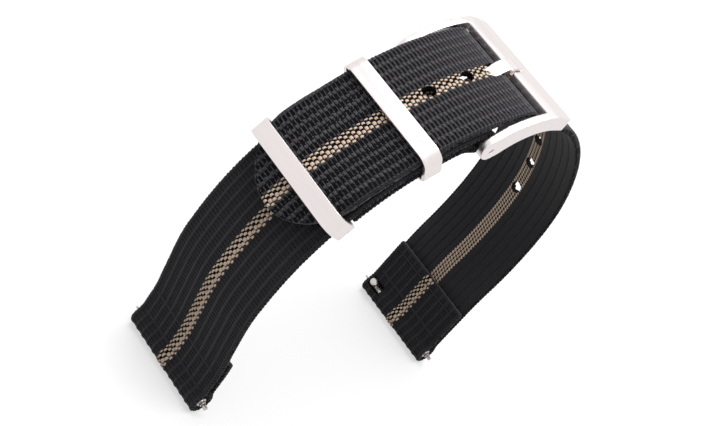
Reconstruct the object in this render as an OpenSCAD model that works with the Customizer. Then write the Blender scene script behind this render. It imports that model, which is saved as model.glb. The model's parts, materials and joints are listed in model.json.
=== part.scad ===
// Two-piece webbing watch strap, closed on its tang buckle and standing on its two lug ends.
// Both straps follow one arch. Its side view is drawn in X and Z, and the width runs along Y.

/* [Webbing] */
// Width of both straps, which is the lug width of the watch
strap_w = 20; // [18:1:22]
// Thickness of one layer of webbing
web_t = 1.3; // [1.2:0.1:1.4]
// Gap between the long strap and the short strap under it
layer_gap = 0.6; // [0.5:0.05:0.7]
// Gap between the two layers of a fold
ply_gap = 0.2; // [0.1:0.05:0.3]
// Radius of the arch, to the outer face of the long strap on top
arch_r = 41.3; // [39.3:0.5:43.3]
// Height of the centre of that radius above the ground
arch_z = 29.4; // [28:0.2:32]

/* [Short strap] */
// Place of the buckle's spring bar on the arch, in degrees from +X
bar_a = 115; // [114:0.2:116]
// End of the fold behind the buckle on the arch, in degrees from +X
buckle_fold_end_a = 153; // [147:0.2:153]
// Length of the fold at the lug end
short_fold = 9.5; // [8:0.5:12]
// Distance from the lug spring bar to the first row of stitches
short_row_1 = 2.6; // [2.4:0.1:3.4]
// Distance from the lug spring bar to the second row of stitches
short_row_2 = 7.2; // [6:0.2:7.6]

/* [Long strap] */
// Place of the rounded end on the arch, in degrees from +X
tip_a = 165.2; // [162:0.2:169]
// Length of the end's rounding
tip_l = 12; // [10:0.5:12]
// How far the strap's end stands off the arch
tail_lift = 0.9; // [0.6:0.1:1]
// Distance between the holes
hole_pitch = 7.6; // [7:0.2:8]
// Width of a hole across the strap
hole_w = 2.1; // [1.8:0.1:2.3]
// Length of a hole along the strap
hole_l = 2.4; // [2.3:0.1:2.7]
// Length of the fold at the lug end
long_fold = 12; // [11.2:0.2:13]
// Distance from the lug spring bar to the first row of stitches
long_row_1 = 4.4; // [3:0.2:5]
// Distance from the lug spring bar to the second row of stitches
long_row_2 = 10.4; // [9:0.2:10.6]

/* [Stitching] */
// Thickness of the sewing thread
thread_t = 0.3; // [0.24:0.02:0.36]
// Distance from needle hole to needle hole
stitch_l = 2.4; // [2:0.2:3]

/* [Buckle] */
// Thickness of each leg of the frame
leg_t = 1.4; // [1.2:0.1:1.8]
// Free room on each side of the strap inside the frame
frame_side_gap = 0.4; // [0.3:0.1:0.6]
// Radius of the rounded ends of the legs
boss_r = 2.1; // [1.9:0.1:2.4]
// Width of the cross bar along the strap
cross_bar_w = 7.45; // [7:0.05:7.6]
// Distance from the spring bar to the front of the cross bar
frame_reach = 17.2; // [17:0.1:17.7]
// Height of the cross bar's top above the spring bar
cross_bar_top = 7.5; // [7.3:0.1:7.6]
// Radius of the legs' arched top edge
top_r = 26; // [22:1:50]
// Radius of the legs' hollow underside
under_r = 14.5; // [12:0.5:24]
// Radius of the cross bar's rounded front edge
nose_r = 1.15; // [1:0.05:1.3]
// Width of the tongue
tongue_w = 2.4; // [2:0.1:2.6]
// Thickness of the tongue
tongue_t = 1.1; // [1:0.1:1.2]
// Radius of the buckle spring bar's tube
bar_r = 0.9; // [0.85:0.01:0.92]
// Radius of the buckle spring bar's tips
bar_tip_r = 0.42; // [0.4:0.01:0.44]

/* [Keepers] */
// Width of a keeper along the strap
keeper_w = 3.2; // [2.4:0.2:3.2]
// Wall of a keeper
keeper_t = 0.8; // [0.6:0.1:1]
// Radius of a keeper's outer corners
keeper_corner = 2; // [1.6:0.1:2.2]
// Place of the keeper by the buckle on the arch, in degrees from +X
buckle_keeper_a = 131.7; // [131:0.1:133]
// Place of the keeper by the strap's end on the arch, in degrees from +X
tip_keeper_a = 155.9; // [155.7:0.1:158]

/* [Lug spring bars] */
// Radius of the lug spring bars' tubes
lug_bar_r = 0.9; // [0.86:0.01:0.92]
// Radius of the pins that enter the watch case
lug_pin_r = 0.4; // [0.38:0.01:0.42]
// Length of the pins beyond the strap's edge
lug_pin_out = 1.1; // [0.8:0.1:1.3]
// Travel of the release knob
release_travel = 1.2; // [1.15:0.05:1.3]
// Radius of the release knob's head
knob_r = 0.78; // [0.6:0.02:0.8]

/* [Hidden] */
$fn = 48;

half_w = strap_w / 2;
// Clearances: pin in bore, tube in a loop of webbing, ring round the straps, thread in its groove
pin_clear = 0.04;
loop_clear = 0.08;
keeper_clear = 0.14;
keeper_side_clear = 0.15;
thread_clear = 0.02;
// Distance between points along a bend of the webbing
point_step = 1.4;
// How far a cutting shape runs past what it cuts, and a length past the whole buckle
over = 1;
far = 2 * strap_w;
// Angle between points along the arch
arch_step = 2;
// Angles between which the strap's end rises from the arch
lift_from = 138;
lift_to = 152;

// Radii of the layers on the arch, from the outside in
long_out_r = arch_r;
long_in_r = long_out_r - web_t;
short_out_r = long_in_r - layer_gap;
short_in_r = short_out_r - web_t;
fold_depth = 2 * web_t + ply_gap;
fold_in_r = short_out_r - fold_depth;

// Loops of webbing round the spring bars
buckle_loop_in = bar_r + loop_clear;
buckle_loop_out = buckle_loop_in + web_t;
lug_loop_in = lug_bar_r + loop_clear;
lug_loop_out = lug_loop_in + web_t;
lug_bow = lug_loop_out - fold_depth / 2;
buckle_bow = 2 * buckle_loop_in - ply_gap;
lug_loop_len = 2.6;
buckle_loop_len = 5;

// Spring bar of the buckle
bar_place_r = short_in_r - buckle_loop_in;
frame_in = half_w + frame_side_gap;
frame_out = frame_in + leg_t;

// Bends of the short strap below the arch, above and below its straight run: length, turn in degrees
short_upper_bends = [[2.5, 0], [7, 15.5]];
short_lower_bends = [[4, -11], [short_fold - 4, 0]];
// Bends of the long strap: over the tongue, under the cross bar, then round the wrist
long_bends = [[4.45, -66.3], [2.75, 53], [7.8, -7], [6.5, -17], [9.2, -14], [7.4, -10], [10, -13],
    [9.2, -17], [9, -12], [9, -12]];
// Turn of the last bend of the long strap, above its lug fold
long_last_turn = 10;
// Where the long strap leaves the arch
long_leave_a = 103.3;
// Steps of the rounded end
tip_points = 32;
// Holes on each side of the tongue's hole
holes_to_tip = 2;
holes_to_lug = 7;

function arch_point(r, a) = [r * cos(a), arch_z + r * sin(a)];
function smooth(t) = let (u = min(max(t, 0), 1)) u * u * (3 - 2 * u);

// A station on a strap's outer face is [x, z, heading, length so far]
function arch_run(r, a0, a1) = let (n = ceil(abs(a1 - a0) / arch_step), side = sign(a1 - a0))
    [for (i = [0:n]) let (a = a0 + (a1 - a0) * i / n, p = arch_point(r, a))
        [p[0], p[1], a + 90 * side, r * abs(a - a0) * PI / 180]];
function lifted_r(a) = long_out_r + tail_lift * smooth((a - lift_from) / (lift_to - lift_from));
// Stations of the long strap from its end, down to the arch, with a as the angle of a station
function lifted_point(i, n) = let (a = tip_a + (long_leave_a - tip_a) * i / n) arch_point(lifted_r(a), a);
function lifted_heading(i, n) = let (p = lifted_point(i + 0.1, n) - lifted_point(i - 0.1, n))
    atan2(p[1], p[0]);
function lifted_run() = let (n = ceil((tip_a - long_leave_a) / arch_step))
    [for (i = 0, s = 0; i <= n; s = s + norm(lifted_point(i + 1, n) - lifted_point(i, n)), i = i + 1)
        let (p = lifted_point(i, n)) [p[0], p[1], lifted_heading(i, n), s]];
function bend_run(s, len, turn) = let (
        n = max(1, ceil(len / point_step)), r = turn == 0 ? 0 : len * 180 / PI / turn)
    [for (i = [1:n]) let (u = i / n, h = s[2] + turn * u)
        turn == 0 ? [s[0] + len * u * cos(h), s[1] + len * u * sin(h), h, s[3] + len * u]
        : [s[0] + r * (sin(h) - sin(s[2])), s[1] - r * (cos(h) - cos(s[2])), h, s[3] + len * u]];
function walk(s, bends, i = 0) = i == len(bends) ? []
    : let (run = bend_run(s, bends[i][0], bends[i][1])) concat(run, walk(last(run), bends, i + 1));

// The point at a depth below the outer face of a station, with the inside on the given side of the heading
function inward(s, side) = side * [-sin(s[2]), cos(s[2])];
function below(s, side, depth) = [s[0], s[1]] + inward(s, side) * depth;
function reversed(list) = [for (i = [len(list) - 1:-1:0]) list[i]];
function arc(c, r, a0, a1, n = 12) = [for (i = [0:n]) let (a = a0 + (a1 - a0) * i / n)
    c + r * [cos(a), sin(a)]];

function last(list) = list[len(list) - 1];
function loop_centre(run, side) = below(last(run), side, fold_depth / 2);

// Each strap is drawn with the arch centred on X. Then one free length is found that brings its lug end
// to the ground.
short_side = 1;
long_side = -1;
short_arch = arch_run(short_out_r, bar_a, 180);
function short_walk(free) = walk(last(short_arch), concat(short_upper_bends, [[free, 0]], short_lower_bends));
short_free = (loop_centre(short_walk(0), short_side)[1] - lug_loop_out)
    / -sin(last(short_arch)[2] + last(short_upper_bends)[1]);
short_shape = concat(short_arch, short_walk(short_free));
long_arch = lifted_run();
long_leave_s = last(long_arch)[3];
long_wrist = walk(last(long_arch), long_bends);
function long_walk(free) = walk(last(long_wrist), [[free, long_last_turn], [long_fold, 0]]);
long_drop = last(bend_run([0, 0, last(long_wrist)[2], 0], 1, long_last_turn))[1];
long_free = (loop_centre(long_walk(0), long_side)[1] - lug_loop_out) / -long_drop;
long_shape = concat(long_arch, long_wrist, long_walk(long_free));

// Centre of the arch along X, which puts the middle of the part at the origin
low_x = min(-short_out_r, long_arch[0][0]);
high_x = max([for (s = long_shape) s[0]]);
arch_x = -(low_x + high_x) / 2;
short_run = [for (s = short_shape) s + [arch_x, 0, 0, 0]];
long_run = [for (s = long_shape) s + [arch_x, 0, 0, 0]];
short_len = last(short_run)[3];
long_len = last(long_run)[3];
bar_pos = arch_point(bar_place_r, bar_a) + [arch_x, 0];

// A place between stations, at a length along the strap
function at_s(run, s, i = 0) = i >= len(run) - 2 || run[i + 1][3] >= s
    ? let (u = (s - run[i][3]) / (run[i + 1][3] - run[i][3])) run[i] + (run[i + 1] - run[i]) * u
    : at_s(run, s, i + 1);
// Where a line from the buckle's bar at an angle meets a strap's outer face
function bar_angle(s) = atan2(s[1] - bar_pos[1], s[0] - bar_pos[0]);
function crossing(run, a, i) = bar_angle(run[i + 1]) > a ? crossing(run, a, i + 1)
    : run[i] + (run[i + 1] - run[i]) * (bar_angle(run[i]) - a) / (bar_angle(run[i]) - bar_angle(run[i + 1]));
short_lug = loop_centre(short_run, short_side);
long_lug = loop_centre(long_run, long_side);

// Side view of a lug end: main layer and fold round the spring bar, from the outer face to the inner face
function lug_bulge(run, s) = lug_bow * (1 - smooth((last(run)[3] - s[3]) / lug_loop_len));
function lug_fold_points(run, side, fold) = let (
        total = last(run)[3],
        folded = [for (s = run) if (s[3] > total - fold - 0.01) s],
        back = reversed(folded), c = loop_centre(run, side), h = last(run)[2], q = -90 * side)
    concat(arc(c, lug_loop_out, h + q, h - q),
        [for (s = back) below(s, side, fold_depth + lug_bulge(run, s))],
        [for (s = folded) below(s, side, web_t + ply_gap + lug_bulge(run, s))],
        arc(c, lug_loop_in, h - q, h + q));

// Side view of the short strap's fold round the buckle's bar, from the main layer's inner face to its
// outer face
buckle_fold_l = short_out_r * (buckle_fold_end_a - bar_a) * PI / 180;
function buckle_bulge(s) = buckle_bow * (1 - smooth(s[3] / buckle_loop_len));
function buckle_fold_points() = let (
        folded = [for (s = short_run) if (s[3] < buckle_fold_l) s],
        back = reversed(folded))
    concat(arc(bar_pos, buckle_loop_in, bar_a, bar_a - 180),
        [for (s = folded) below(s, 1, web_t + ply_gap + buckle_bulge(s))],
        [for (s = back) below(s, 1, fold_depth + buckle_bulge(s))],
        arc(bar_pos, buckle_loop_out, bar_a - 180, bar_a));

function short_outline() = concat(
    [for (s = short_run) below(s, 1, -lug_bulge(short_run, s))],
    lug_fold_points(short_run, 1, short_fold),
    [for (s = reversed(short_run)) below(s, 1, web_t - lug_bulge(short_run, s))],
    buckle_fold_points());
function long_outline() = concat(
    [for (s = long_run) below(s, -1, -lug_bulge(long_run, s))],
    lug_fold_points(long_run, -1, long_fold),
    [for (s = reversed(long_run)) below(s, -1, web_t - lug_bulge(long_run, s))]);

// Turns a side view drawn in X and Z into a solid of the given width along Y, centred on it
module side_view(w) {
    translate([0, w / 2, 0]) rotate([90, 0, 0]) linear_extrude(height = w) children();
}
// Carries children to a place in the side view, with their X along the heading
module at_station(s) {
    translate([s[0], 0, s[1]]) rotate([0, -s[2], 0]) children();
}
module at_bar(p) {
    translate([p[0], 0, p[1]]) children();
}
// A rectangle with rounded corners
module rounded_rect(x0, x1, y0, y1, r) {
    union() {
        translate([x0 + r, y0]) square([x1 - x0 - 2 * r, y1 - y0]);
        translate([x0, y0 + r]) square([x1 - x0, y1 - y0 - 2 * r]);
        for (x = [x0 + r, x1 - r], y = [y0 + r, y1 - r]) translate([x, y]) circle(r = r);
    }
}
// A round rod along Y
module rod(r, y0, y1) {
    translate([0, y1, 0]) rotate([90, 0, 0]) cylinder(r = r, h = y1 - y0);
}

// One row of lockstitches through both layers of a fold, with its threads flush in the faces
module stitch_row(run, side, s, depth, grow = 0) {
    n = floor((strap_w - 2) / stitch_l);
    st = at_s(run, s);
    t = thread_t + 2 * grow;
    at_station(st) for (k = [0:n]) {
        y = (k - n / 2) * stitch_l;
        z0 = side > 0 ? thread_clear : -depth + thread_clear;
        leg_h = depth - 2 * thread_clear;
        translate([-t / 2, y - t / 2, z0 - grow]) cube([t, t, leg_h + 2 * grow]);
        if (k < n) for (z = [z0, z0 + leg_h - thread_t])
            translate([-t / 2, y, z - grow]) cube([t, stitch_l, t]);
    }
}
module short_lug_rows(grow = 0) {
    for (d = [short_row_1, short_row_2])
        stitch_row(short_run, short_side, short_len - d, fold_depth, grow);
}
module long_lug_rows(grow = 0) {
    for (d = [long_row_1, long_row_2])
        stitch_row(long_run, long_side, long_len - d, fold_depth, grow);
}
module buckle_rows(grow = 0) {
    for (s = [buckle_loop_len + 1.6, buckle_fold_l - 3])
        stitch_row(short_run, short_side, s, fold_depth, grow);
}

// Room in the lug loop for the release knob's stem and head
module knob_notch(p, a) {
    notch_l = release_travel + 2 * knob_r + 0.6;
    at_bar(p) rotate([0, -a, 0])
        translate([lug_bar_r * 0.5, knob_y - release_travel - knob_r - 0.3, -knob_r - 0.25])
            cube([lug_loop_out + knob_r, notch_l, 2 * knob_r + 0.5]);
}

module short_strap() {
    slot_w = tongue_w + 0.5;
    color("#26242a") difference() {
        side_view(strap_w) polygon(short_outline());
        // Slot for the tongue's eye
        at_bar(bar_pos) rotate([0, -(bar_a - 90), 0])
            translate([-eye_r - 0.35, -slot_w / 2, -buckle_loop_out - 1])
                cube([2 * buckle_loop_out + 2, slot_w, 2 * buckle_loop_out + 2]);
        short_lug_rows(thread_clear);
        buckle_rows(thread_clear);
        knob_notch(short_lug, short_knob_a);
    }
}

module hole(s) {
    at_station(at_s(long_run, s)) translate([0, 0, -web_t - over]) {
        straight = hole_l - hole_w;
        for (x = [-1, 1]) translate([x * straight / 2, 0, 0]) cylinder(d = hole_w, h = web_t + 2 * over);
        translate([-straight / 2, -hole_w / 2, 0]) cube([straight, hole_w, web_t + 2 * over]);
    }
}

module long_strap() {
    tongue_s = crossing(long_run, tongue_a, len(long_arch) - 3)[3];
    slot_w = tongue_w + 2 * tongue_side_room;
    color("#2b282e") difference() {
        side_view(strap_w) polygon(long_outline());
        // Rounded end
        at_station(at_s(long_run, tip_l / 2)) translate([0, 0, -web_t - over])
            linear_extrude(height = web_t + 2 * over) polygon(concat(
                [[tip_l / 2, half_w + over], [-tip_l, half_w + over], [-tip_l, -half_w - over],
                    [tip_l / 2, -half_w - over]],
                [for (i = [0:tip_points]) let (a = 180 * i / tip_points - 90)
                    [tip_l / 2 - tip_l * cos(a), half_w * sin(a)]]));
        for (k = [-holes_to_tip:holes_to_lug])
            if (k != 0) hole(tongue_s + k * hole_pitch);
        // Hole that the tongue passes through, pushed slantwise by it
        at_bar(bar_pos) rotate([0, -tongue_a, 0])
            translate([tongue_reach / 2, -slot_w / 2, -tongue_t / 2 - tongue_side_room])
                cube([tongue_reach, slot_w, tongue_t + tongue_side_room + tongue_room]);
        long_lug_rows(thread_clear);
        knob_notch(long_lug, long_knob_a);
    }
}

module short_strap_lug_stitching() {
    color("#1b1a1e") short_lug_rows();
}
module short_strap_buckle_stitching() {
    color("#1b1a1e") buckle_rows();
}
module long_strap_lug_stitching() {
    color("#1b1a1e") long_lug_rows();
}

// Side view of the frame, with its spring bar at the origin. The leg rises straight from its rounded end
// to the knee, then its top arches to the crest and slopes to the cross bar's nose.
cross_bar_x = frame_reach - cross_bar_w;
boss_c = [-0.2, 0.25];
knee_slope = 38.5;
knee_l = 3.85;
knee = boss_c + boss_r * [-sin(knee_slope), cos(knee_slope)] + knee_l * [cos(knee_slope), sin(knee_slope)];
crest = [cross_bar_x + 1.6, cross_bar_top];
nose_c = [frame_reach - nose_r, cross_bar_top - nose_r - 0.7];
under_start = nose_c - [2.2, nose_r - 0.02];
under_end = [1.1, -0.21] * boss_r;
// Underside of the cross bar, and the slope at its inner edge
cross_bar_under = cross_bar_top - 2.55;
lip = 0.7;
// Notch in the cross bar for the tongue's end
notch_l = 2.4;
notch_side = 0.2;
notch_z = cross_bar_top - 1;
// Corners of the frame seen from above
frame_corner = 2.2;
opening_corner = 0.5;
function arc_through(p, q, r, side, n = 14) = let (
        d = q - p, l = norm(d), c = (p + q) / 2 + side * [-d[1], d[0]] / l * sqrt(r * r - l * l / 4),
        a = atan2(p[1] - c[1], p[0] - c[0]), b = atan2(q[1] - c[1], q[0] - c[0]))
    arc(c, r, a, b, n);
function frame_outline() = concat(
    arc(boss_c, boss_r, -45, knee_slope - 270, 16),
    arc_through(knee, crest, top_r, -1),
    arc(nose_c, nose_r, 86, -88, 10),
    arc_through(under_start, under_end, under_r, 1));

module buckle_frame() {
    color("#d9d4d2") at_bar(bar_pos) difference() {
        intersection() {
            side_view(2 * frame_out) polygon(frame_outline());
            // Rounded corners seen from above
            translate([0, 0, -far]) linear_extrude(height = 2 * far)
                rounded_rect(-far, frame_reach, -frame_out, frame_out, frame_corner);
        }
        // Opening for the strap
        translate([0, 0, -far]) linear_extrude(height = 2 * far)
            rounded_rect(-far, cross_bar_x, -frame_in, frame_in, opening_corner);
        // Underside of the cross bar, thinned so that the strap passes under it
        translate([cross_bar_x - over, -frame_in, -over])
            cube([cross_bar_w - 2 * nose_r + over, 2 * frame_in, cross_bar_under + over]);
        // Sloped lip where the strap turns under the cross bar
        translate([cross_bar_x, 0, cross_bar_under]) rotate([0, 45, 0])
            translate([-lip, -frame_in, -lip]) cube([2 * lip, 2 * frame_in, 2 * lip]);
        // Notch for the tongue's end
        translate([cross_bar_x - over, -tongue_w / 2 - notch_side, notch_z])
            cube([notch_l + over, tongue_w + 2 * notch_side, far]);
        // Holes for the spring bar's tips
        rod(bar_tip_r + pin_clear, -frame_out - over, frame_out + over);
    }
}

// Tongue: eye round the spring bar's tube, straight arm through the strap, bend, flat end in the notch.
// The arm leaves the bar at the angle at which it runs into the bend.
eye_r = bar_r + pin_clear + 0.8;
tongue_bend_r = 3.4;
tongue_end_a = -2;
tongue_flat_start = [cross_bar_x + 0.5, cross_bar_top];
tongue_flat_l = notch_l - 1;
tongue_bend_c = tongue_flat_start + tongue_bend_r * [sin(tongue_end_a), -cos(tongue_end_a)];
tongue_a = atan2(tongue_bend_c[1], tongue_bend_c[0]) + asin(tongue_bend_r / norm(tongue_bend_c));
tongue_turn = tongue_a - tongue_end_a;
tongue_reach = sqrt(pow(norm(tongue_bend_c), 2) - pow(tongue_bend_r, 2));
// Room in the strap beside and above the tongue
tongue_side_room = 0.15;
tongue_room = 0.9;
tongue_line = concat([[cos(tongue_a), sin(tongue_a), tongue_a, 0]],
    walk([cos(tongue_a), sin(tongue_a), tongue_a, 0],
        [[tongue_reach - 1, 0], [tongue_bend_r * tongue_turn * PI / 180, -tongue_turn], [tongue_flat_l, 0]]));
module buckle_tongue() {
    color("#dcd7d4") at_bar(bar_pos) difference() {
        union() {
            rod(eye_r, -tongue_w / 2, tongue_w / 2);
            side_view(tongue_w) polygon(concat(
                [for (s = tongue_line) below(s, 1, -tongue_t / 2)],
                [for (s = reversed(tongue_line)) below(s, 1, tongue_t / 2)]));
        }
        rod(bar_r + pin_clear, -tongue_w, tongue_w);
    }
}

// Spring bar of the buckle: a tube with a sprung tip at each end
bar_half = half_w - 0.1;
bar_bore = 0.6;
crimp_l = 0.35;
plunger_in = 6;
module buckle_bar_tube() {
    color("#b9b6b3") at_bar(bar_pos) difference() {
        rod(bar_r, -bar_half, bar_half);
        rod(bar_bore, -bar_half + crimp_l, bar_half - crimp_l);
        rod(bar_tip_r + pin_clear, -bar_half - 1, bar_half + 1);
    }
}
module buckle_bar_tip(side) {
    color("#c6c3c0") at_bar(bar_pos) mirror([0, side > 0 ? 0 : 1, 0]) union() {
        rod(bar_bore - pin_clear, plunger_in, bar_half - crimp_l - pin_clear);
        rod(bar_tip_r, plunger_in, frame_out - 0.6);
    }
}
module buckle_bar_near_tip() {
    buckle_bar_tip(-1);
}
module buckle_bar_far_tip() {
    buckle_bar_tip(1);
}

// Coil spring along Y, one unbroken wire
wire_sides = 6;
coil_steps = 12;
module coil(r, wire, y0, y1, turns) {
    n = turns * coil_steps;
    rise = (y1 - y0 - 2 * wire) / n;
    rings = [for (i = [0:n]) let (a = 360 * i / coil_steps, y = y0 + wire + rise * i)
        [for (k = [0:wire_sides - 1]) let (b = 360 * k / wire_sides, q = r + wire * cos(b))
            [q * cos(a), y + wire * sin(b), q * sin(a)]]];
    points = [for (ring = rings) each ring];
    walls = [for (i = [0:n - 1], k = [0:wire_sides - 1]) let (
            a = i * wire_sides + k, b = i * wire_sides + (k + 1) % wire_sides)
        each [[a, b, b + wire_sides], [a, b + wire_sides, a + wire_sides]]];
    cap = [for (k = [1:wire_sides - 2]) [0, k + 1, k]];
    end_cap = [for (k = [1:wire_sides - 2]) [n * wire_sides, n * wire_sides + k, n * wire_sides + k + 1]];
    polyhedron(points = points, faces = concat(walls, cap, end_cap));
}
spring_gap = 0.05;
module buckle_bar_spring() {
    color("#9a9896") at_bar(bar_pos)
        coil(bar_bore - 0.18, 0.12, -plunger_in + spring_gap, plunger_in - spring_gap, 14);
}

// Keeper: a rectangular ring round every layer of both straps
keeper_in_corner = 0.25;
module keeper(a, lift) {
    in0 = fold_in_r - keeper_clear + lift;
    in1 = long_out_r + keeper_clear + lift;
    side = half_w + keeper_side_clear;
    color("#dedad7") translate([arch_x, 0, arch_z]) rotate([0, -a, 0])
        translate([0, 0, -keeper_w / 2]) linear_extrude(height = keeper_w) difference() {
            rounded_rect(in0 - keeper_t, in1 + keeper_t, -side - keeper_t, side + keeper_t, keeper_corner);
            rounded_rect(in0, in1, -side, side, keeper_in_corner);
        }
}
module buckle_keeper() {
    keeper(buckle_keeper_a, 0);
}
module tip_keeper() {
    keeper(tip_keeper_a, tail_lift);
}

// Quick-release spring bars at the two lug ends, with the knob towards the wrist near the far edge
knob_y = half_w - 2;
lug_bar_half = half_w - 0.3;
lug_bore = lug_bar_r - 0.14;
neck_r = lug_pin_r + 0.17;
neck_out = 0.1;
knob_stem_r = 0.3;
knob_stem_out = 2.45;
knob_head_h = 0.85;
short_knob_a = 39;
long_knob_a = 141;
release_plunger_in = knob_y - 3.2;
fixed_plug_in = lug_bar_half - 2;
module lug_bar_tube(p, a) {
    color("#b9b6b3") at_bar(p) difference() {
        rod(lug_bar_r, -lug_bar_half, lug_bar_half);
        rod(lug_bore, -lug_bar_half - over, lug_bar_half - crimp_l);
        rod(neck_r + pin_clear, 0, lug_bar_half + over);
        rotate([0, -a, 0]) {
            for (y = [knob_y - release_travel, knob_y]) translate([0, y, 0]) rotate([0, 90, 0])
                cylinder(r = knob_stem_r + pin_clear, h = 2);
            translate([0, knob_y - release_travel, -knob_stem_r - pin_clear])
                cube([2, release_travel, 2 * (knob_stem_r + pin_clear)]);
        }
    }
}
module lug_bar_fixed_pin(p) {
    color("#c6c3c0") at_bar(p) union() {
        rod(lug_bore - 0.01, -lug_bar_half, -fixed_plug_in);
        rod(neck_r, -half_w - neck_out, -fixed_plug_in);
        rod(lug_pin_r, -half_w - lug_pin_out, -fixed_plug_in);
    }
}
module lug_bar_release_pin(p, a) {
    color("#c6c3c0") at_bar(p) difference() {
        union() {
            rod(lug_bore - pin_clear, release_plunger_in, lug_bar_half - crimp_l - pin_clear);
            rod(neck_r, release_plunger_in, half_w + neck_out);
            rod(lug_pin_r, release_plunger_in, half_w + lug_pin_out);
        }
        rotate([0, -a, 0]) translate([0, knob_y, 0]) rotate([0, 90, 0])
            cylinder(r = knob_stem_r + 0.01, h = 2);
    }
}
module lug_bar_knob(p, a) {
    color("#d2cecb") at_bar(p) rotate([0, -a, 0]) translate([0, knob_y, 0]) rotate([0, 90, 0]) union() {
        cylinder(r = knob_stem_r, h = knob_stem_out + 0.2);
        translate([0, 0, knob_stem_out]) cylinder(r = knob_r, h = knob_head_h - 0.25);
        translate([0, 0, knob_stem_out + knob_head_h - 0.25])
            cylinder(r1 = knob_r, r2 = knob_r - 0.25, h = 0.25);
    }
}
module lug_bar_spring(p) {
    color("#9a9896") at_bar(p)
        coil(lug_bore - 0.18, 0.12, -fixed_plug_in + spring_gap, release_plunger_in - spring_gap, 16);
}
module short_lug_bar_tube() {
    lug_bar_tube(short_lug, short_knob_a);
}
module short_lug_bar_fixed_pin() {
    lug_bar_fixed_pin(short_lug);
}
module short_lug_bar_release_pin() {
    lug_bar_release_pin(short_lug, short_knob_a);
}
module short_lug_bar_knob() {
    lug_bar_knob(short_lug, short_knob_a);
}
module short_lug_bar_spring() {
    lug_bar_spring(short_lug);
}
module long_lug_bar_tube() {
    lug_bar_tube(long_lug, long_knob_a);
}
module long_lug_bar_fixed_pin() {
    lug_bar_fixed_pin(long_lug);
}
module long_lug_bar_release_pin() {
    lug_bar_release_pin(long_lug, long_knob_a);
}
module long_lug_bar_knob() {
    lug_bar_knob(long_lug, long_knob_a);
}
module long_lug_bar_spring() {
    lug_bar_spring(long_lug);
}

short_strap();
short_strap_lug_stitching();
short_strap_buckle_stitching();
long_strap();
long_strap_lug_stitching();
buckle_frame();
buckle_tongue();
buckle_bar_tube();
buckle_bar_near_tip();
buckle_bar_far_tip();
buckle_bar_spring();
buckle_keeper();
tip_keeper();
short_lug_bar_tube();
short_lug_bar_fixed_pin();
short_lug_bar_release_pin();
short_lug_bar_knob();
short_lug_bar_spring();
long_lug_bar_tube();
long_lug_bar_fixed_pin();
long_lug_bar_release_pin();
long_lug_bar_knob();
long_lug_bar_spring();
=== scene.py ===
"""Looks of the two-piece webbing watch strap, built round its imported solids.

Made here are the weave of both straps, the eased edges of the frame, the tongue and the keepers, all
materials, the floor, the lights and the camera. Every other piece shows its solid as it is.
"""

import json
import math

import bpy
import numpy as np
from mathutils import Matrix, Vector


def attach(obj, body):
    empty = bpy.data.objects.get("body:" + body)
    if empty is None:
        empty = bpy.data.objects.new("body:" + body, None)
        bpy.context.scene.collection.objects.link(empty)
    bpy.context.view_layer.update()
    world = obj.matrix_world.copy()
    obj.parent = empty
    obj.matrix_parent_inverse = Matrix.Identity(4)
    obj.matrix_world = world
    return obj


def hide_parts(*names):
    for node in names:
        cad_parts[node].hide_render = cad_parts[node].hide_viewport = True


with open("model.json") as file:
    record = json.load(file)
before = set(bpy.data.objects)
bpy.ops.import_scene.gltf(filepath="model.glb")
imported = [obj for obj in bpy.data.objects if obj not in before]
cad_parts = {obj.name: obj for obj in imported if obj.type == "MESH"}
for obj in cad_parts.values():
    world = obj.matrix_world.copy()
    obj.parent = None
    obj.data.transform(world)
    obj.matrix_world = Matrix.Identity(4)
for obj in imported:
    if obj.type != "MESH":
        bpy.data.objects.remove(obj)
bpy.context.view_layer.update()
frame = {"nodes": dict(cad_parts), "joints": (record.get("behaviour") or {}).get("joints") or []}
nodes = frame["nodes"]
joints = {j["name"]: j for j in frame["joints"]}
MM = 0.001


def axis_place(joint):
    """Place of a joint's axis in the side view, as X and Z in millimetres."""
    return np.array(joints[joint]["pos_m"])[[0, 2]] / MM


# Sizes of the webbing in millimetres and degrees, kept equal to those of part.scad.
# Angles are counted in the side view, from +X towards +Z.
WIDTH = 20.0
WEB_T = 1.3
LAYER_GAP = 0.6
PLY_GAP = 0.2
ARCH_R = 41.3
ARCH_X, ARCH_Z = axis_place("tip_keeper_slide")
SHORT_R = ARCH_R - WEB_T - LAYER_GAP
FOLD_DEPTH = 2 * WEB_T + PLY_GAP

# Long strap: angle of its tip, length of the round end, how far and between which angles the tail lifts
# off the arch, and the angle at which the strap leaves the arch
TIP_A = 165.2
TIP_L = 12.0
TAIL_LIFT = 0.9
LIFT_FROM, LIFT_TO = 138.0, 152.0
LONG_LEAVE_A = 103.3

# Short strap: angle of the buckle's bar and angle at which the fold behind the buckle ends
BAR_A = 115.0
BUCKLE_FOLD_END_A = 153.0

# Bends after the arch, each as a length and a turn, the last one along the fold at the lug end
SHORT_FOLD = 9.5
LONG_FOLD = 12.0
SHORT_BENDS = [(2.5, 0), (7, 15.5), (8.71567, 0), (4, -11), (SHORT_FOLD - 4, 0)]
LONG_BENDS = [(4.45, -66.3), (2.75, 53), (7.8, -7), (6.5, -17), (9.2, -14), (7.4, -10), (10, -13),
              (9.2, -17), (9, -12), (9, -12), (6.25937, 10), (LONG_FOLD, 0)]

# Loops round the bars: inner radius, and the length over which the layers close up beside them
LUG_LOOP_IN = 0.98
BUCKLE_LOOP_IN = 0.98
LUG_LOOP_LEN = 2.6
BUCKLE_LOOP_LEN = 5.0
BAR = axis_place("buckle_hinge")
SHORT_LUG = axis_place("short_lug_bar_turn")
LONG_LUG = axis_place("long_lug_bar_turn")

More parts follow.
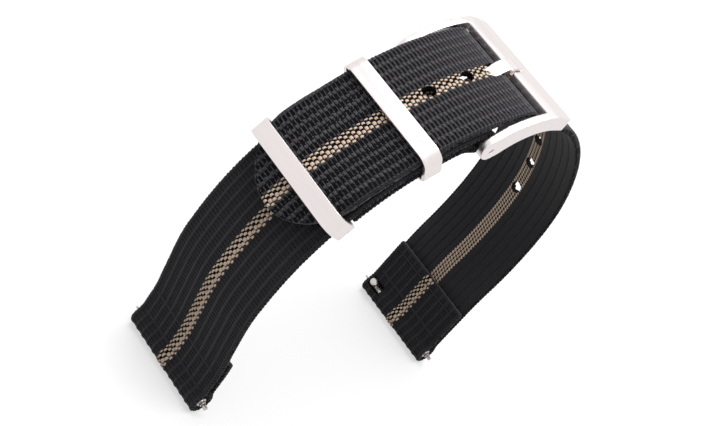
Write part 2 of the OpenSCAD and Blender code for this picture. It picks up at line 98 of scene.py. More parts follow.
# Tongue: its angle, reach and section, the room beside and under it in its hole and that over it, and the
# length from the long strap's tip within which it passes through. Then its eye's radius and the room there
TONGUE_A = 40.16
TONGUE_REACH = 10.39
TONGUE_W, TONGUE_T = 2.4, 1.1
TONGUE_SIDE_ROOM, TONGUE_ROOM = 0.15, 0.9
TONGUE_WITHIN = 60
EYE_R, EYE_ROOM, EYE_SIDE_ROOM = 1.74, 0.35, 0.25

# Punched holes, counted from the one that the tongue is in, and the corners of half a hole's outline
HOLE_PITCH, HOLE_W, HOLE_L = 7.6, 2.1, 2.4
HOLES_TO_TIP, HOLES_TO_LUG = 2, 7
HOLE_STEPS = 12

# Release knobs: place across, radius, travel and room at either end. The notch for a knob runs from and to
# these distances from the bar, and NOTCH_HALF to both sides. Then the headings of the two knobs
KNOB_Y, KNOB_R, KNOB_TRAVEL, KNOB_ROOM = 8.0, 0.78, 1.2, 0.3
NOTCH_FROM, NOTCH_TO, NOTCH_HALF = 0.45, 3.1, 1.03
SHORT_KNOB_A, LONG_KNOB_A = 39, 141

# Spacing of the points on a path, shortest last step of a strip, and how far a cutter stands out of what
# it cuts
STEP = 0.05
LAST_STEP = 0.03
OVER = 1

# Weave: length of a column of weft, spacing and first place of the rows of slots, which run along the
# strap, half width of a slot, and how far the rows lie to one side
COLUMN = 0.70
RIB = 1.70
FIRST_SLOT = 1.88
SLOT_HALF = 0.55
WEAVE_SHIFT = 0.1

# Places of the mesh's crosswise lines within a column, the share of it that is ridge, and the middle and
# half length of the block after the ridge, all as shares of the column
COLUMN_STEPS = np.array([0, 0.12, 0.2, 0.36, 0.52, 0.7, 0.85, 0.93])
RIDGE = 0.13
BLOCK_MIDDLE, BLOCK_REACH = 0.53, 0.4

# Lengthwise lines of the mesh: how far from the middle they stand closer, and their numbers there, on
# either side of that, and round an edge, whose width across the strap is EDGE
CLOSE_HALF = 1.3
CLOSE_LINES, SIDE_LINES, EDGE_LINES = 39, 63, 9
EDGE = 0.42

# Heights in the weave, over the webbing's face: ridges, slots with their rise on odd columns and in their
# middle, blocks with their fall beside the crown, the height under which the thread gets painted shade, and
# the stripe
RIDGE_TOP, RIDGE_WAVE = -0.02, 0.02
SLOT_FLOOR, ODD_SLOT_RISE, SLOT_CROWN = -0.34, 0.05, 0.12
BLOCK_TOP, BLOCK_SIDE, BLOCK_WAVE = -0.03, 0.22, 0.05
SHADE_BELOW = -0.16
STRIPE_FLOOR, BEAD_RISE = -0.28, 0.32

# How much further out the slots of odd columns lie, how much smaller their half width is, and how wide the
# wall of a slot is
ODD_SHIFT, ODD_NARROWER, SLOT_WALL = 0.14, 0.07, 0.2

# The tighter ribs: height and grain of the valleys and of the crests, half width and wall of a valley
VALLEY, VALLEY_GRAIN = -0.24, 0.10
CREST, CREST_GRAIN = -0.03, 0.07
VALLEY_HALF, VALLEY_WALL = SLOT_HALF + 0.04, 0.36

# Beads of the stripe on even and odd columns: place across the strap and half width. Then their half
# length along it, and the stripe's two edges on even and odd columns
BEADS = {0: [(1.03, 0.15), (0.29, 0.29), (-0.56, 0.32)], 1: [(0.725, 0.235), (-0.28, 0.375), (-1.03, 0.24)]}
BEAD_ALONG = 0.335
STRIPE_EDGES = {0: (-0.90, 1.17), 1: (-1.28, 0.96)}

# Inner face: half width and depth of a groove, depth of the fine grains, half width and floor of its
# stripe, width of a row of grains there, half size of a grain as a share of its cell, and its height
GROOVE_HALF, GROOVE_DEPTH, FINE_DEPTH = 0.13, 0.20, 0.05
INNER_STRIPE_HALF, INNER_FLOOR = 1.35, -0.2
GRAIN_ROW, GRAIN_REACH = 0.68, 0.46
GRAIN_BASE, GRAIN_RISE = -0.16, 0.13

# Round edges: how far they stay inside the full size, and how far they are drawn in between blocks, across
# the strap and in its thickness, the share of that at a ridge, and the size of their unevenness
EDGE_IN, EDGE_DRAW = 0.05, 0.16
LIFT_IN, LIFT_DRAW = 0.06, 0.13
RIDGE_DRAW = 0.3
FUZZ = 0.08

# Ends: share of the thickness at the very end, and the number of rings over which it grows to the full one
END_SHARE, END_RINGS = 0.62, 4

# Kinds of face, in the order of the webbing's materials. All but the tan and the rim are copies of one dark
# thread,
# lit and shaded by paint: the ridges' kind is the lightest, a painted highlight; the blocks' kind is darker;
# the very dark kind is painted shade in slots, gaps and holes; the fine kind is painted shade on faces
# turned from the light
RIDGE_LIT, TAN, DEEP_SHADE, RIM, FINE_SHADE, BLOCK = range(6)


# Paths in the side view

def smooth(t):
    """Smooth step from 0 to 1."""
    t = np.clip(t, 0, 1)
    return t * t * (3 - 2 * t)


def bend(start, length, turn):
    """Points (x, z, heading, length so far) along a bend of constant curvature."""
    x, z, h, s = start
    n = max(2, math.ceil(length / STEP))
    u = np.arange(1, n + 1) / n
    cos_h, sin_h = math.cos(math.radians(h)), math.sin(math.radians(h))
    if turn == 0:
        return np.stack([x + length * u * cos_h, z + length * u * sin_h, np.full(n, h), s + length * u], 1)
    r = length / math.radians(turn)
    heading = np.radians(h + turn * u)
    return np.stack([x + r * (np.sin(heading) - sin_h), z - r * (np.cos(heading) - cos_h),
                     np.degrees(heading), s + length * u], 1)


def strap_run(radius, a0, a1, bends, lift=0.0):
    """Outer face of a strap: round the arch from angle a0 to a1, then along its bends."""
    a = np.linspace(a0, a1, math.ceil(abs(math.radians(a1 - a0)) * radius / STEP) + 1)
    r = radius + lift * smooth((a - LIFT_FROM) / (LIFT_TO - LIFT_FROM))
    x, z = ARCH_X + r * np.cos(np.radians(a)), ARCH_Z + r * np.sin(np.radians(a))
    heading = np.degrees(np.unwrap(np.arctan2(np.gradient(z), np.gradient(x))))
    s = np.concatenate([[0], np.cumsum(np.hypot(np.diff(x), np.diff(z)))])
    parts = [np.stack([x, z, heading, s], 1)]
    parts[0][-1, 2] = a1 + (90 if a1 > a0 else -90)
    for length, turn in bends:
        parts.append(bend(tuple(parts[-1][-1]), length, turn))
    return np.concatenate(parts)


def below(run, side, depth):
    """Points at a depth under the outer face, with the inside on the given side of the heading."""
    h = np.radians(run[:, 2])
    return run[:, :2] + side * np.stack([-np.sin(h), np.cos(h)], 1) * np.asarray(depth)[:, None]


def circle(centre, r, a0, a1):
    """Points on a round path between two angles, without its two ends."""
    n = max(8, math.ceil(abs(math.radians(a1 - a0)) * r / STEP))
    a = np.radians(np.linspace(a0, a1, n + 1)[1:-1])
    return np.asarray(centre) + r * np.stack([np.cos(a), np.sin(a)], 1)


def lug_end(run, side, fold):
    """Middle line of a strap's main layer, and that of its loop and fold at the lug end."""
    total = run[-1, 3]
    bow = (LUG_LOOP_IN + WEB_T - FOLD_DEPTH / 2) * (1 - smooth((total - run[:, 3]) / LUG_LOOP_LEN))
    main = below(run, side, WEB_T / 2 - bow)
    centre = below(run[-1:], side, [FOLD_DEPTH / 2])[0]
    heading = run[-1, 2]
    loop = circle(centre, LUG_LOOP_IN + WEB_T / 2, heading - 90 * side, heading + 90 * side)
    keep = run[:, 3] > total - fold
    flap = below(run[keep], side, FOLD_DEPTH - WEB_T / 2 + bow[keep])[::-1]
    return main, np.concatenate([loop, flap])


def buckle_end(run, length):
    """Middle line of the fold behind the buckle, from its free end to the start of the main layer."""
    bow = (2 * BUCKLE_LOOP_IN - PLY_GAP) * (1 - smooth(run[:, 3] / BUCKLE_LOOP_LEN))
    keep = run[:, 3] < length
    flap = below(run[keep], 1, FOLD_DEPTH - WEB_T / 2 + bow[keep])[::-1]
    loop = circle(BAR, BUCKLE_LOOP_IN + WEB_T / 2, BAR_A - 180, BAR_A)
    return np.concatenate([flap, loop])


def resample(points):
    """Points at each column's steps along a line and one at its end, with unit tangents and lengths."""
    keep = np.concatenate([[True], np.linalg.norm(np.diff(points, axis=0), axis=1) > 1e-6])
    points = points[keep]
    s = np.concatenate([[0], np.cumsum(np.linalg.norm(np.diff(points, axis=0), axis=1))])
    t = ((np.arange(int(s[-1] / COLUMN) + 1)[:, None] + COLUMN_STEPS) * COLUMN).reshape(-1)
    t = np.append(t[t < s[-1] - LAST_STEP], s[-1])
    p = np.stack([np.interp(t, s, points[:, k]) for k in (0, 1)], 1)
    d = np.gradient(p, t, axis=0)
    for _ in range(3):
        d[1:-1] = (d[:-2] + 2 * d[1:-1] + d[2:]) / 4
    d /= np.linalg.norm(d, axis=1)[:, None]
    return p, d, t


# Weave: each face is a function of the lengths s along and y across the strap, and gives heights and kinds

def column_of(s):
    """Number of the column at each length."""
    return np.floor(s / COLUMN + 1e-6)


def slot_distance(y):
    """Distance across the strap from the middle of the nearest row of slots, in millimetres."""
    q = (np.abs(y + WEAVE_SHIFT) - FIRST_SLOT) / RIB
    return np.abs(q - np.round(q)) * RIB


def stripe(s, y, height, kind):
    """Puts the tan beads of the stripe into a face."""
    column = column_of(s)
    u = (s / COLUMN - column - 0.5) * COLUMN / BEAD_ALONG
    for parity, places in BEADS.items():
        low, high = STRIPE_EDGES[parity]
        here = (column % 2 == parity) & (y > low) & (y < high)
        level = np.full_like(height, STRIPE_FLOOR)
        tan = np.zeros_like(here)
        for centre, reach in places:
            rho = np.abs(u) ** 3 + np.abs((y - centre) / reach) ** 2.8
            bead = STRIPE_FLOOR + BEAD_RISE * np.clip(1 - rho, 0, 1) ** 0.4
            level = np.where(rho < 1, np.maximum(level, bead), level)
            tan |= rho < 1
        height = np.where(here, level, height)
        # Between the beads the very dark copy of the thread paints the shade in the gaps
        kind = np.where(here, np.where(tan, TAN, DEEP_SHADE), kind)
    return height, kind


def slotted(s, y):
    """Outer face: a thin ridge across at each column, and between two ridges blocks and slots in turn."""
    column = column_of(s)
    u = s / COLUMN - column
    v = np.abs(u - BLOCK_MIDDLE) / BLOCK_REACH
    # a block falls off towards the ridge before it and, about half as much, towards the one after it
    beside = smooth((0.42 - u) / 0.2) + 0.55 * smooth((u - 0.78) / 0.15)
    odd = column % 2
    q = slot_distance(np.where(odd == 1, y - ODD_SHIFT * np.sign(y), y))
    wave = np.cos(2 * np.pi * q / RIB)
    inside = smooth((SLOT_HALF - ODD_NARROWER * odd - q) / SLOT_WALL + 0.5)
    ridge = u < RIDGE
    floor = SLOT_FLOOR + ODD_SLOT_RISE * odd + SLOT_CROWN * np.exp(-(v / 0.4) ** 2)
    block = BLOCK_TOP - BLOCK_SIDE * beside - BLOCK_WAVE * wave
    height = floor * inside + block * (1 - inside)
    height = np.where(ridge, RIDGE_WAVE * wave + RIDGE_TOP, height)
    # Ridges take the lighter copy of the thread, a painted highlight; slot floors under the threshold take
    # the very dark copy, painted shade
    kind = np.where(ridge, RIDGE_LIT, np.where(height < SHADE_BELOW, DEEP_SHADE, BLOCK))
    return stripe(s, y, height, kind)


def ribbed(s, y):
    """Outer face of the short strap, which is drawn tighter: soft ribs, with fine grains between them."""
    grain = 0.5 + 0.5 * np.cos(4 * np.pi * s / COLUMN)
    inside = smooth((VALLEY_HALF - slot_distance(y)) / VALLEY_WALL + 0.5)
    valley = VALLEY + VALLEY_GRAIN * grain
    crest = CREST - CREST_GRAIN * (1 - grain)
    height = valley * inside + crest * (1 - inside)
    # Valley floors take the very dark copy of the thread, painted shade; the rest takes the dark copy,
    # painted shade of a face turned from the light
    kind = np.where((inside > 0.45) & (grain < 0.6), DEEP_SHADE, FINE_SHADE)
    return stripe(s, y, height, kind)


def slotted_then_ribbed(seam):
    """Outer face of the long strap, whose loop and fold at the lug end show the ribs from the seam on."""
    def face(s, y):
        pairs = zip(slotted(s, y), ribbed(s, y))
        return tuple(np.where(s < seam, main, fold) for main, fold in pairs)
    return face


def grooved(s, y):
    """Inner face: flat ribs with thin grooves between them, and low slanted grains in a wider stripe."""
    groove = np.exp(-(np.abs(slot_distance(y) - RIB / 2) / GROOVE_HALF) ** 2)
    fine = 0.5 + 0.5 * np.cos(2 * np.pi * (s / COLUMN * 2 + y * 0.8))
    height = -GROOVE_DEPTH * groove - FINE_DEPTH * (1 - fine)
    # Grooves and the gaps between the stripe's grains take the very dark copy of the thread, painted shade;
    # the rest takes the dark copy, painted shade of a face turned from the light
    kind = np.where(height < INNER_FLOOR, DEEP_SHADE, FINE_SHADE)
    inside = np.abs(y) < INNER_STRIPE_HALF
    row = np.floor(y / GRAIN_ROW)
    u = s / COLUMN + 0.35 * row + (y / GRAIN_ROW - row) * 0.45
    u = u - np.floor(u) - 0.5
    v = y / GRAIN_ROW - row - 0.5
    rho = np.abs(u / GRAIN_REACH) ** 2.4 + np.abs(v / GRAIN_REACH) ** 2.4
    tan = inside & (rho < 1)
    grains = np.where(tan, GRAIN_BASE + GRAIN_RISE * np.clip(1 - rho, 0, 1) ** 0.5, INNER_FLOOR)
    height = np.where(inside, grains, height)
    kind = np.where(inside, np.where(tan, TAN, DEEP_SHADE), kind)
    return height, kind


# Mesh of a strip of webbing

def linked(name, data):
    """A new object of the scene with the data given."""
    obj = bpy.data.objects.new(name, data)
    bpy.context.scene.collection.objects.link(obj)
    return obj


def lines_across():
    """Places of the mesh's lengthwise lines across one face, closer together over the stripe."""
    middle = np.linspace(-CLOSE_HALF, CLOSE_HALF, CLOSE_LINES)
    side = np.linspace(CLOSE_HALF, WIDTH / 2 - EDGE, SIDE_LINES + 1)[1:]
    return np.concatenate([-side[::-1], middle, side])


def round_edge(s, turn):
    """Reach across and lift of a round edge, drawn in between blocks and a little uneven, and its kinds."""
    u = s / COLUMN - column_of(s)
    between = smooth((np.abs(u - BLOCK_MIDDLE) / BLOCK_REACH - 0.35) / 0.65)
    cord = np.where(u < RIDGE, RIDGE_DRAW, between)[:, None]
    # scattered values that are the same in each run
    place = np.arange(len(s))[:, None] * 12.9898 + np.arange(len(turn))[None, :] * 78.233
    fuzz = np.sin(place) * 43758.5453
    fuzz = (fuzz - np.floor(fuzz) - 0.5) * FUZZ
    reach = WIDTH / 2 - EDGE + (EDGE - EDGE_IN - EDGE_DRAW * cord) * np.cos(turn)[None, :] + fuzz
    lift = (WEB_T / 2 - LIFT_IN - LIFT_DRAW * cord) * np.sin(turn)[None, :] + fuzz
    # Where the edge is drawn in, and in scattered specks on its lower part, it takes the very dark copy of
    # the thread, painted shade; elsewhere the dark copy, also painted shade
    kind = np.where((cord > 0.4) | (turn[None, :] < 0.5) & (fuzz < 0.012), DEEP_SHADE, FINE_SHADE)
    return reach, lift, kind


def round_start(s, y, tip):
    """Lengths along a strip whose start is rounded over the length tip, drawn together behind it."""
    start = tip * (1 - np.sqrt(np.clip(1 - (np.abs(y) / (WIDTH / 2)) ** 2, 0, 1)))
    span = 2.2 * tip
    return np.where(s < span, start + s * (1 - start / span), s)


def quad_kinds(kind):
    """Kind of each quad between two rings, from the kinds of the points on them."""
    tan = (kind == TAN) & (np.roll(kind, -1, 1) == TAN)
    # Quads after a tan point that are not wholly tan take the very dark copy of the thread, a thin painted
    # shade beside each bead
    quad = np.where(kind[:-1] == TAN, DEEP_SHADE, kind[:-1])
    quad = np.where(kind[1:] == RIDGE_LIT, RIDGE_LIT, quad)
    quad = np.where((quad == DEEP_SHADE) & (kind[1:] == FINE_SHADE), FINE_SHADE, quad)
    return np.where(tan[:-1], TAN, quad)


def end_caps(rings, face_lines):
    """Faces that close a strip's first and last ring, from line to line between its outer and inner face."""
    k = 2 * (face_lines + EDGE_LINES)
    half_edge = EDGE_LINES // 2 + 1
    top = np.arange(-half_edge, face_lines + half_edge)
    bottom = 2 * face_lines + EDGE_LINES - 1 - top
    caps = []
    for first, flip in ((0, True), ((rings - 1) * k, False)):
        for q in range(len(top) - 1):
            loop = [top[q] % k, bottom[q] % k, bottom[q + 1] % k, top[q + 1] % k]
            loop = list(dict.fromkeys(int(first + v) for v in loop))
            if len(loop) > 2:
                caps.append(loop[::-1] if flip else loop)
    return caps


def ribbon(name, line, face, tip=0.0):
    """Closed mesh of a strip of webbing along its middle line, its start rounded over the length tip."""
    p, d, s = resample(line)
    y = lines_across()
    n, m = len(s), len(y)
    turn = np.radians(np.linspace(90, -90, EDGE_LINES + 2)[1:-1])
    reach, lift, kind_edge = round_edge(s, turn)
    # a ring runs over the outer face, round one edge, over the inner face and round the other edge
    across = np.repeat(y[None, :], n, 0)
    ring_y = np.concatenate([across, reach, across[:, ::-1], -reach[:, ::-1]], 1)
    k = ring_y.shape[1]
    along = np.repeat(s[:, None], k, 1)
    if tip:
        along = round_start(along, ring_y, tip)
    outer, inner = slice(0, m), slice(m + EDGE_LINES, 2 * m + EDGE_LINES)
    front, kind_front = face(along[:, outer], ring_y[:, outer])
    back, kind_back = grooved(along[:, inner], ring_y[:, inner])
    ring_n = np.concatenate([WEB_T / 2 + front, lift, -WEB_T / 2 - back, -lift], 1)
    kind = np.concatenate([kind_front, kind_edge, kind_back, kind_edge[:, ::-1]], 1)
    # both ends are pressed thinner, and their outermost ring shows the cut
    row = np.minimum(np.arange(n), np.arange(n)[::-1])[:, None]
    ring_n *= END_SHARE + (1 - END_SHARE) * smooth(row / END_RINGS)
    kind = np.where(row < 1, RIM, kind)
    px, pz = [np.interp(along, s, p[:, i]) for i in (0, 1)]
    dx, dz = [np.interp(along, s, d[:, i]) for i in (0, 1)]
    verts = np.stack([px - dz * ring_n, ring_y, pz + dx * ring_n], -1).reshape(-1, 3) * MM
    i = np.arange(n - 1)[:, None]
    j = np.arange(k)[None, :]
    a, b = i * k + j, i * k + (j + 1) % k
    quads = np.stack([a, a + k, b + k, b], -1).reshape(-1, 4)
    caps = end_caps(n, m)
    faces = quads.tolist() + caps
    # The end caps take the dark copy of the thread, painted shade
    kinds = np.concatenate([quad_kinds(kind).reshape(-1), np.full(len(caps), FINE_SHADE)]).astype(np.int32)
    mesh = bpy.data.meshes.new(name)
    mesh.from_pydata(verts.tolist(), [], faces)
    mesh.polygons.foreach_set("material_index", kinds)
    mesh.polygons.foreach_set("use_smooth", np.ones(len(faces), bool))
    mesh.update()
    return linked(name, mesh)


# Cuts

def prism(name, outline, height, matrix):
    """A closed prism on an outline in its local XY plane, from 0 up to a height, all in millimetres."""
    n = len(outline)
    verts = [(x, y, 0) for x, y in outline] + [(x, y, height) for x, y in outline]
    faces = [list(range(n))[::-1], list(range(n, 2 * n))]
    faces += [[q, (q + 1) % n, n + (q + 1) % n, n + q] for q in range(n)]
    mesh = bpy.data.meshes.new(name)
    mesh.from_pydata([tuple(matrix @ Vector(v) * MM) for v in verts], [], faces)
    return linked(name, mesh)


def side_frame(x, z, heading, sink):
    """Local X along a heading in the side view, Y across, Z square to both, sunk along Z by a depth."""
    a = math.radians(heading)
    c, s = math.cos(a), math.sin(a)
    place = Matrix(((c, 0, -s, x), (0, 1, 0, 0), (s, 0, c, z), (0, 0, 0, 1)))
    return place @ Matrix.Translation((0, 0, -sink))


def oblong(length, width):
    """Outline of a hole with round ends."""
    half = (length - width) / 2
    pts = []
    for q in range(2 * HOLE_STEPS):
        a = math.pi * (q + 0.5) / HOLE_STEPS - math.pi / 2
        pts.append((math.copysign(half, math.cos(a)) + width / 2 * math.cos(a), width / 2 * math.sin(a)))
    return pts


def rectangle(x0, x1, y0, y1):
    """Outline of a rectangle."""
    return [(x0, y0), (x1, y0), (x1, y1), (x0, y1)]


def baked(obj):
    """Replaces an object's mesh by its mesh with all modifiers applied."""
    bpy.context.view_layer.update()
    made = bpy.data.meshes.new_from_object(obj.evaluated_get(bpy.context.evaluated_depsgraph_get()))
    obj.modifiers.clear()
    obj.data = made
    made.name = obj.name


def add_webbing(obj):
    """Adds the webbing's materials to an object, in the order of the kinds."""
    for m in webbing:
        obj.data.materials.append(m)


def cut(obj, cutters):
    """Cuts the cutters out of an object and removes them."""
    for c in cutters:
        add_webbing(c)
        # The cut walls take the very dark copy of the thread, painted shade inside holes and slots
        c.data.polygons.foreach_set("material_index", [DEEP_SHADE] * len(c.data.polygons))
        mod = obj.modifiers.new("cut", "BOOLEAN")
        mod.operation = "DIFFERENCE"
        mod.solver = "MANIFOLD"
        mod.object = c
    baked(obj)
    for c in cutters:
        bpy.data.objects.remove(c)


# Materials

def shader(name, color, rough, metallic=0.0, specular=0.5, sheen=0.0):
    """A material with its node tree and its Principled node."""
    m = bpy.data.materials.new(name)
    m.use_nodes = True
    b = m.node_tree.nodes["Principled BSDF"]
    b.inputs["Base Color"].default_value = (*color, 1)
    b.inputs["Roughness"].default_value = rough
    b.inputs["Metallic"].default_value = metallic
    b.inputs["Specular IOR Level"].default_value = specular
    b.inputs["Sheen Weight"].default_value = sheen
    b.inputs["Sheen Roughness"].default_value = 0.5
    return m, m.node_tree, b


def noise(tree, scale, stretch=(1, 1, 1)):
    """Noise in the object's own coordinates."""
    coord = tree.nodes.new("ShaderNodeTexCoord")
    mapping = tree.nodes.new("ShaderNodeMapping")
    mapping.inputs["Scale"].default_value = stretch
    tex = tree.nodes.new("ShaderNodeTexNoise")
    tex.inputs["Scale"].default_value = scale
    tex.inputs["Detail"].default_value = 3
    tree.links.new(coord.outputs["Object"], mapping.inputs["Vector"])
    tree.links.new(mapping.outputs["Vector"], tex.inputs["Vector"])
    return tex.outputs["Fac"]


def ramp(tree, source, low, high, target):
    """Drives an input by a ramp between two colours over the middle of a source's range."""
    r = tree.nodes.new("ShaderNodeValToRGB")
    for e, pos, col in zip(r.color_ramp.elements, (0.3, 0.7), (low, high)):
        e.position = pos
        e.color = (*col, 1)
    tree.links.new(source, r.inputs["Fac"])
    tree.links.new(r.outputs["Color"], target)


def bump(tree, bsdf, source, strength, distance):
    """Roughens a material's surface by a source."""
    b = tree.nodes.new("ShaderNodeBump")
    b.inputs["Strength"].default_value = strength
    b.inputs["Distance"].default_value = distance
    tree.links.new(source, b.inputs["Height"])
    tree.links.new(b.outputs["Normal"], bsdf.inputs["Normal"])


def thread_material(name, dark, light, rough, sheen, specular):
    """Thread between a dark and a light colour, with fine fibres."""
    m, tree, b = shader(name, dark, rough, specular=specular, sheen=sheen)
    fine = noise(tree, scale=9000)
    ramp(tree, fine, dark, light, b.inputs["Base Color"])
    bump(tree, b, fine, strength=0.35, distance=0.00006)
    return m


def steel_material(name, color, rough, stretch):
    """Steel with faint streaks, drawn out where the stretch is small."""
    m, tree, b = shader(name, color, rough, metallic=1.0)
    streaks = noise(tree, scale=900, stretch=stretch)
    darker = tuple(c * (1 - 0.05) for c in color)
    ramp(tree, streaks, darker, color, b.inputs["Base Color"])
    ramp(tree, streaks, (rough - 0.05,) * 3, (rough + 0.06,) * 3, b.inputs["Roughness"])
    bump(tree, b, streaks, strength=0.12, distance=0.00003)
    return m


# Threads: dark and light colour, roughness, sheen and specular level. The webbing's threads but the tan, the
# rim and the sewing are copies of one dark thread whose colour paints its light and shade: the lighter copy
# on the ridges is a painted highlight, the darker copies on faces turned from the light and in slots, gaps
# and holes are painted shade
THREADS = {
    "web_ridge_lit": ((0.054, 0.051, 0.058), (0.117, 0.111, 0.127), 0.55, 0.4, 0.12),
    "web_block": ((0.032, 0.030, 0.034), (0.076, 0.072, 0.082), 0.55, 0.4, 0.1),
    "web_deep_shade": ((0.007, 0.0068, 0.008), (0.020, 0.019, 0.022), 0.8, 0.0, 0.04),
    "web_fine": ((0.018, 0.0175, 0.020), (0.046, 0.044, 0.050), 0.6, 0.3, 0.06),
    "web_rim": ((0.06, 0.058, 0.063), (0.15, 0.145, 0.155), 0.6, 0.1, 0.15),
    "web_tan": ((0.68, 0.51, 0.38), (0.93, 0.75, 0.60), 0.8, 0.1, 0.15),
    "sewing_thread": ((0.018, 0.018, 0.021), (0.045, 0.045, 0.05), 0.6, 0.1, 0.15),
}
threads = {name: thread_material(name, *look) for name, look in THREADS.items()}
webbing = [threads["web_" + kind] for kind in ("ridge_lit", "tan", "deep_shade", "rim", "fine", "block")]
satin = steel_material("satin_steel", (0.895, 0.832, 0.824), 0.28, (1, 0.06, 1))
bar_steel = steel_material("bar_steel", (0.66, 0.63, 0.6), 0.28, (1, 0.2, 1))
wire = steel_material("spring_wire", (0.5, 0.49, 0.48), 0.3, (1, 1, 1))

# Straps
short_run = strap_run(SHORT_R, BAR_A, 180, SHORT_BENDS)
long_run = strap_run(ARCH_R, TIP_A, LONG_LEAVE_A, LONG_BENDS, TAIL_LIFT)
fold_length = SHORT_R * math.radians(BUCKLE_FOLD_END_A - BAR_A)
short_main, short_fold = lug_end(short_run, 1, SHORT_FOLD)
long_main, long_fold = lug_end(long_run, -1, LONG_FOLD)
short_line = np.concatenate([buckle_end(short_run, fold_length), short_main, short_fold])
long_line = np.concatenate([long_main, long_fold])

short_web = ribbon("short_strap_webbing", short_line[::-1], ribbed)
long_seam = COLUMN * round(long_run[-1, 3] / COLUMN)
long_web = ribbon("long_strap_webbing", long_line, slotted_then_ribbed(long_seam), tip=TIP_L)
add_webbing(short_web)
add_webbing(long_web)


def tongue_length():
    """Length along the long strap's outer face at which the tongue's line goes through it."""
    angle = np.degrees(np.arctan2(long_run[:, 1] - BAR[1], long_run[:, 0] - BAR[0]))
    passes = (angle[:-1] > TONGUE_A) & (angle[1:] <= TONGUE_A) & (long_run[1:, 3] < TONGUE_WITHIN)
    return long_run[np.flatnonzero(passes)[0], 3]


def punched_hole(s):
    """Cutter for a punched hole at a length along the long strap."""
    x, z, h = [float(np.interp(s, long_run[:, 3], long_run[:, q])) for q in range(3)]
    return prism("hole", oblong(HOLE_L, HOLE_W), WEB_T + 2 * OVER, side_frame(x, z, h, WEB_T + OVER))


def tongue_slot():
    """Cutter for the hole that the tongue passes through."""
    half = TONGUE_W / 2 + TONGUE_SIDE_ROOM
    return prism("tongue_slot", rectangle(TONGUE_REACH / 2, TONGUE_REACH * 1.5, -half, half),
                 TONGUE_T + TONGUE_SIDE_ROOM + TONGUE_ROOM,
                 side_frame(*BAR, TONGUE_A, TONGUE_T / 2 + TONGUE_SIDE_ROOM))


def eye_slot():
    """Cutter for the slot in the short strap's loop that takes the tongue's eye."""
    start = -(EYE_R + EYE_ROOM)
    half = TONGUE_W / 2 + EYE_SIDE_ROOM
    loop_out = BUCKLE_LOOP_IN + WEB_T
    height = 2 * loop_out + 2 * OVER
    return prism("eye_slot", rectangle(start, start + 2 * loop_out + 2 * OVER, -half, half), height,
                 side_frame(*BAR, BAR_A - 90, loop_out + OVER))


def knob_notch(lug, heading):
    """Room in a lug loop for the release knob's stem and head."""
    start = KNOB_Y - KNOB_TRAVEL - KNOB_R - KNOB_ROOM
    end = start + KNOB_TRAVEL + 2 * KNOB_R + 2 * KNOB_ROOM
    return prism("notch", rectangle(NOTCH_FROM, NOTCH_TO, start, end), 2 * NOTCH_HALF,
                 side_frame(*lug, heading, NOTCH_HALF))


tongue_s = tongue_length()
steps = [k for k in range(-HOLES_TO_TIP, HOLES_TO_LUG + 1) if k]
holes = [punched_hole(tongue_s + k * HOLE_PITCH) for k in steps]
cut(long_web, holes + [tongue_slot(), knob_notch(LONG_LUG, LONG_KNOB_A)])
cut(short_web, [eye_slot(), knob_notch(SHORT_LUG, SHORT_KNOB_A)])
for web, node in ((short_web, "short_strap"), (long_web, "long_strap")):
    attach(web, "straps")
    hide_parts(node)


# Steel and stitching

def solid_material(name):
    """Material of a solid, by what its node's name says."""
    if "stitching" in name:
        return threads["sewing_thread"]
    if "spring" in name:
        return wire
    if "bar_" in name:
        return bar_steel
    return satin


def give(obj, material):
    """Puts one material on an object in place of its own."""
    obj.data.materials.clear()
    obj.data.materials.append(material)


for name, obj in nodes.items():
    give(obj, solid_material(name))


def round_by_voxels(obj, width, voxel):
    """Rebuilds an object in fine voxels and smooths them, which rounds its edges by about a width."""
    cells = obj.modifiers.new("cells", "REMESH")
    cells.mode = "VOXEL"
    cells.voxel_size = voxel * MM
    soften = obj.modifiers.new("soften", "SMOOTH")
    soften.factor = 0.5
    soften.iterations = round(2 * (width / voxel) ** 2)
    baked(obj)


def round_by_bevel(obj, width):
    """Merges an object's flat faces and bevels its sharp edges."""
    flat = obj.modifiers.new("flat", "DECIMATE")
    flat.decimate_type = "DISSOLVE"
    flat.angle_limit = math.radians(0.6)
    round_off = obj.modifiers.new("round", "BEVEL")
    round_off.width = width * MM
    round_off.segments = 3
    round_off.limit_method = "ANGLE"
    round_off.angle_limit = math.radians(28)
    round_off.use_clamp_overlap = True
    baked(obj)


def eased(name, node, body, width, voxel=0.0):
    """A solid's form with its edges rounded: in voxels where their size is given, else by a bevel."""
    source = nodes[node]
    mesh = source.data.copy()
    mesh.transform(source.matrix_world)
    mesh.name = name
    obj = linked(name, mesh)
    weld = obj.modifiers.new("weld", "WELD")
    weld.merge_threshold = 1e-6
    if voxel:
        round_by_voxels(obj, width, voxel)
    else:
        round_by_bevel(obj, width)
    obj.data.polygons.foreach_set("use_smooth", [True] * len(obj.data.polygons))
    if not voxel:
        weigh = obj.modifiers.new("weigh", "WEIGHTED_NORMAL")
        weigh.keep_sharp = True
        baked(obj)
    give(obj, satin)
    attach(obj, body)
    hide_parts(node)


eased("buckle_frame_steel", "buckle_frame", "buckle", 0.22, voxel=0.13)
eased("buckle_tongue_steel", "buckle_tongue", "tongue", 0.16, voxel=0.1)
eased("buckle_keeper_steel", "buckle_keeper", "buckle_side_keeper", 0.12)
eased("tip_keeper_steel", "tip_keeper", "end_side_keeper", 0.12)


# Floor, world, light and camera

def mixed(tree, share, first, second):
    """Output of a mix of two shaders by a share."""
    mix = tree.nodes.new("ShaderNodeMixShader")
    tree.links.new(share, mix.inputs["Fac"])
    tree.links.new(first, mix.inputs[1])
    tree.links.new(second, mix.inputs[2])
    return mix.outputs["Shader"]


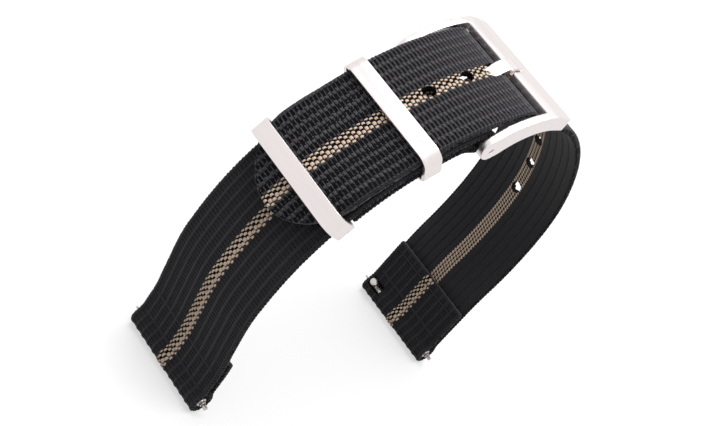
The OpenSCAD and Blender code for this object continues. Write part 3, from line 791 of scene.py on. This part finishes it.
def backdrop(tree, color):
    """Output of a plain background of the world."""
    node = tree.nodes.new("ShaderNodeBackground")
    node.inputs["Color"].default_value = (*color, 1)
    return node.outputs["Background"]


# The floor is pale to the camera and, by a share, in reflections, and grey to all other rays
FLOOR_GREY, FLOOR_PALE, FLOOR_GLOW, FLOOR_IN_STEEL = 0.3, 0.5, 0.58, 0.68
floor_mat, ft, fb = shader("floor", (FLOOR_GREY,) * 3, 0.9, specular=0.0)
pale = ft.nodes.new("ShaderNodeBsdfDiffuse")
pale.inputs["Color"].default_value = (*(FLOOR_PALE,) * 3, 1)
glow = ft.nodes.new("ShaderNodeEmission")
glow.inputs["Color"].default_value = (*(FLOOR_GLOW,) * 3, 1)
both = ft.nodes.new("ShaderNodeAddShader")
ft.links.new(pale.outputs["BSDF"], both.inputs[0])
ft.links.new(glow.outputs["Emission"], both.inputs[1])
ray = ft.nodes.new("ShaderNodeLightPath")
shown = ft.nodes.new("ShaderNodeMath")
shown.operation = "MULTIPLY_ADD"
shown.inputs[1].default_value = FLOOR_IN_STEEL
ft.links.new(ray.outputs["Is Glossy Ray"], shown.inputs[0])
ft.links.new(ray.outputs["Is Camera Ray"], shown.inputs[2])
tone = mixed(ft, shown.outputs[0], fb.outputs["BSDF"], both.outputs["Shader"])
ft.links.new(tone, ft.nodes["Material Output"].inputs["Surface"])
bpy.ops.mesh.primitive_plane_add(size=6, location=(0, 0, -0.0001))
floor = bpy.context.object
floor.name = "floor"
floor.data.materials.append(floor_mat)

# The world is white to the camera, nearly white in reflections, and grey as a light
WORLD_GREY = 0.46
world = bpy.data.worlds.new("studio")
bpy.context.scene.world = world
world.use_nodes = True
wt = world.node_tree
light = wt.nodes["Background"]
light.inputs["Color"].default_value = (*(WORLD_GREY,) * 3, 1)
light.inputs["Strength"].default_value = 1.0
path = wt.nodes.new("ShaderNodeLightPath")
shine = backdrop(wt, (0.95, 0.94, 0.94))
gloss = mixed(wt, path.outputs["Is Glossy Ray"], light.outputs["Background"], shine)
sky = mixed(wt, path.outputs["Is Camera Ray"], gloss, backdrop(wt, (1, 1, 1)))
wt.links.new(sky, wt.nodes["World Output"].inputs["Surface"])

# A wide soft light from almost straight above. It lights a face turned to it as a sky of this grey would
KEY_GREY = 0.78
lamp = bpy.data.lights.new("key", "SUN")
lamp.energy = KEY_GREY * math.pi
lamp.angle = math.radians(50)
key = linked("key", lamp)
key.rotation_euler = (-Vector((0.1, 0.05, 1))).to_track_quat("-Z", "Y").to_euler()

# The camera as solved from the photograph: its place in millimetres, with X counted from EYE_ORIGIN_X, its
# directions, its focal length and the picture's width in pixels, and the sensor's width in millimetres
EYE = (-171.96, -93.77, 151.81)
EYE_ORIGIN_X = ARCH_X - 34.2
FOCAL, PHOTO_W, SENSOR = 1462.16, 710, 36
cam_data = bpy.data.cameras.new("camera")
cam = linked("camera", cam_data)
bpy.context.scene.camera = cam
cam.location = Vector(((EYE[0] + EYE_ORIGIN_X) * MM, EYE[1] * MM, EYE[2] * MM))
right = Vector((0.6119, -0.5574, 0.5612)).normalized()
look = Vector((0.7895, 0.387, -0.4764)).normalized()
up = right.cross(look).normalized()
cam.matrix_world = Matrix.Translation(cam.location) @ Matrix((right, up, -look)).transposed().to_4x4()
cam_data.sensor_width = SENSOR
cam_data.lens = FOCAL / PHOTO_W * SENSOR
cam_data.clip_start = 0.01
cam_data.clip_end = 20
bpy.context.scene.view_settings.view_transform = "Standard"
